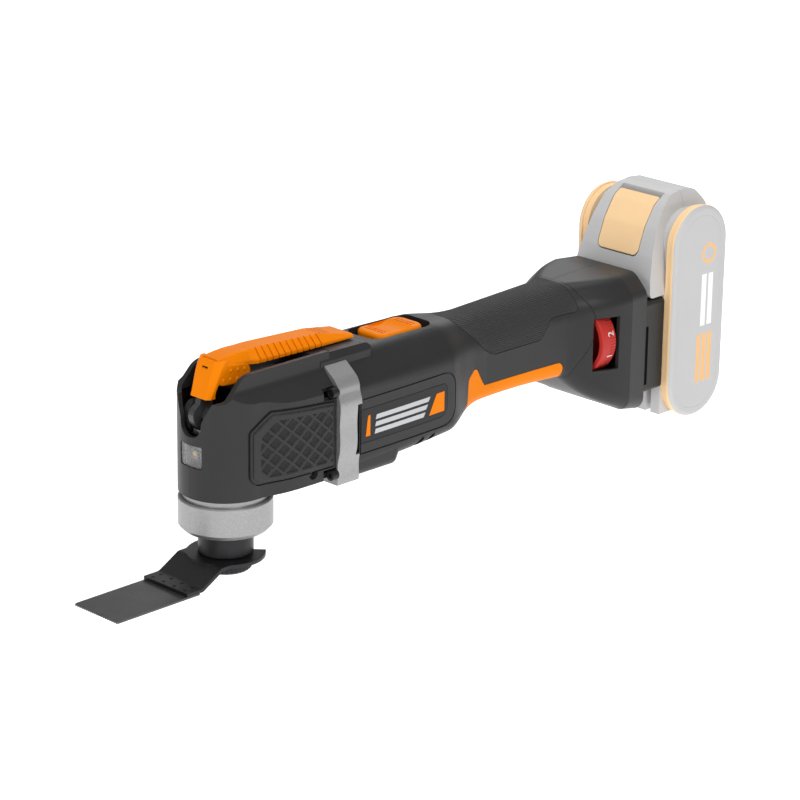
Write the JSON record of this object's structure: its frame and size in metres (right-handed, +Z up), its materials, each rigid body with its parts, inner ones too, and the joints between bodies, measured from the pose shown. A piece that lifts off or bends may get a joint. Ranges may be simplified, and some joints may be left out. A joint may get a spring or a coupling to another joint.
{
  "type": "oscillating multi tool",
  "caption": "Cordless oscillating multi tool: collared head with blade holder and clamp lever, ribbed handle with slide switch and speed wheel, upright slide-on battery pack.",
  "frame": {"origin": "on the spindle axis at the middle of the head collar", "axes": "+X forward towards the blade, +Y to the tool's left, +Z up away from the blade"},
  "size_m": [0.4596, 0.077, 0.1521],
  "materials": {
    "charcoal": "moulded charcoal plastic",
    "rubber_dark": "soft moulded rubber",
    "orange": "moulded orange plastic",
    "band_steel": "speckled stamped steel",
    "collar_alloy": "cast and machined alloy",
    "blackened": "blackened steel",
    "steel": "ground steel",
    "blade_steel": "rolled blade steel",
    "copper": "copper",
    "black_plastic": "black plastic",
    "red_plastic": "red plastic",
    "lens": "clear lens",
    "circuit": "circuit board",
    "pack_grey": "pale grey plastic",
    "pack_orange": "pale orange plastic",
    "cell_wrap": "shrink sleeve",
    "graphite": "carbon",
    "magnet": "ferrite",
    "label": "smooth label plate"
  },
  "bodies": {
    "housing": {"left_housing": "charcoal", "right_housing": "charcoal", "left_foot_shell": "charcoal", "right_foot_shell": "charcoal", "rear_grip": "rubber_dark", "lower_trim": "orange", "left_side_pad": "rubber_dark", "right_side_pad": "rubber_dark", "label_plates": "label", "left_band": "band_steel", "right_band": "band_steel", "band_bolts": "blackened", "housing_screws": "steel", "collar": "collar_alloy", "spindle_bearings": "steel", "gearbox_case": "collar_alloy", "lever_pin": "steel", "led_lens": "lens", "led_board": "circuit", "motor_can": "steel", "motor_rear_cap": "black_plastic", "motor_magnets": "magnet", "carbon_brushes": "graphite", "motor_bearings": "steel", "switch_body": "black_plastic", "control_board": "circuit", "speed_potentiometer": "black_plastic", "rail_plate": "black_plastic", "terminal_block": "black_plastic", "terminal_blades": "copper"},
    "spindle": {"spindle": "blackened", "spindle_fork": "steel", "clamp_jaws": "steel", "clamp_spring": "steel"},
    "rotor": {"motor_shaft": "steel", "armature_core": "steel", "armature_windings": "copper", "commutator": "copper", "cooling_fan": "black_plastic", "eccentric": "steel", "eccentric_bearing": "steel"},
    "clamp_lever": {"lever_cover": "orange", "lever_arm": "blackened"},
    "release": {"release_yoke": "steel", "clamp_rod": "steel"},
    "blade": {"blade_holder": "blackened", "saw_blade": "blade_steel"},
    "clamp_bolt": {"clamp_bolt": "blackened"},
    "power_switch": {"power_switch": "orange"},
    "speed_dial": {"speed_dial": "red_plastic"},
    "battery": {"battery_front_case": "pack_grey", "battery_rear_case": "pack_grey", "battery_stripes": "pack_orange", "left_battery_cover": "pack_grey", "right_battery_cover": "pack_grey", "battery_cells": "cell_wrap", "battery_board": "circuit", "battery_terminal": "black_plastic"},
    "battery_button": {"battery_button": "pack_orange"}
  },
  "joints": [
    {"name": "spindle_swing", "type": "hinge", "parent": "housing", "child": "spindle", "pos_m": [0, 0, 0], "axis": [0, 0, 1], "range_deg": [-1.6, 1.6]},
    {"name": "rotor_spin", "type": "hinge", "parent": "housing", "child": "rotor", "pos_m": [0, 0, 0.036], "axis": [1, 0, 0], "continuous": true},
    {"name": "lever_hinge", "type": "hinge", "parent": "housing", "child": "clamp_lever", "pos_m": [0.0155, 0, 0.055], "axis": [0, 1, 0], "range_deg": [0, 105]},
    {"name": "release_slide", "type": "slide", "parent": "housing", "child": "release", "axis": [0, 0, -1], "range_m": [0, 0.002], "deforming": ["clamp_spring"]},
    {"name": "blade_off", "type": "slide", "parent": "spindle", "child": "blade", "axis": [0, 0, -1], "range_m": [0, 0.03]},
    {"name": "bolt_off", "type": "slide", "parent": "blade", "child": "clamp_bolt", "axis": [0, 0, -1], "range_m": [0, 0.03]},
    {"name": "switch_slide", "type": "slide", "parent": "housing", "child": "power_switch", "axis": [1, 0, 0], "range_m": [0, 0.0055]},
    {"name": "dial_turn", "type": "hinge", "parent": "housing", "child": "speed_dial", "pos_m": [-0.27, 0.0126, 0.038], "axis": [1, 0, 0], "range_deg": [0, 240]},
    {"name": "battery_slide", "type": "slide", "parent": "housing", "child": "battery", "axis": [0, 0, 1], "range_m": [0, 0.075]},
    {"name": "button_press", "type": "slide", "parent": "battery", "child": "battery_button", "axis": [-1, 0, 0], "range_m": [0, 0.002], "stiffness_N_per_m": 800, "springref_m": -0.001}
  ],
  "couplings": [
    {"joint": "release_slide", "follows": "lever_hinge", "m_per_rad": 0.0010913}
  ]
}
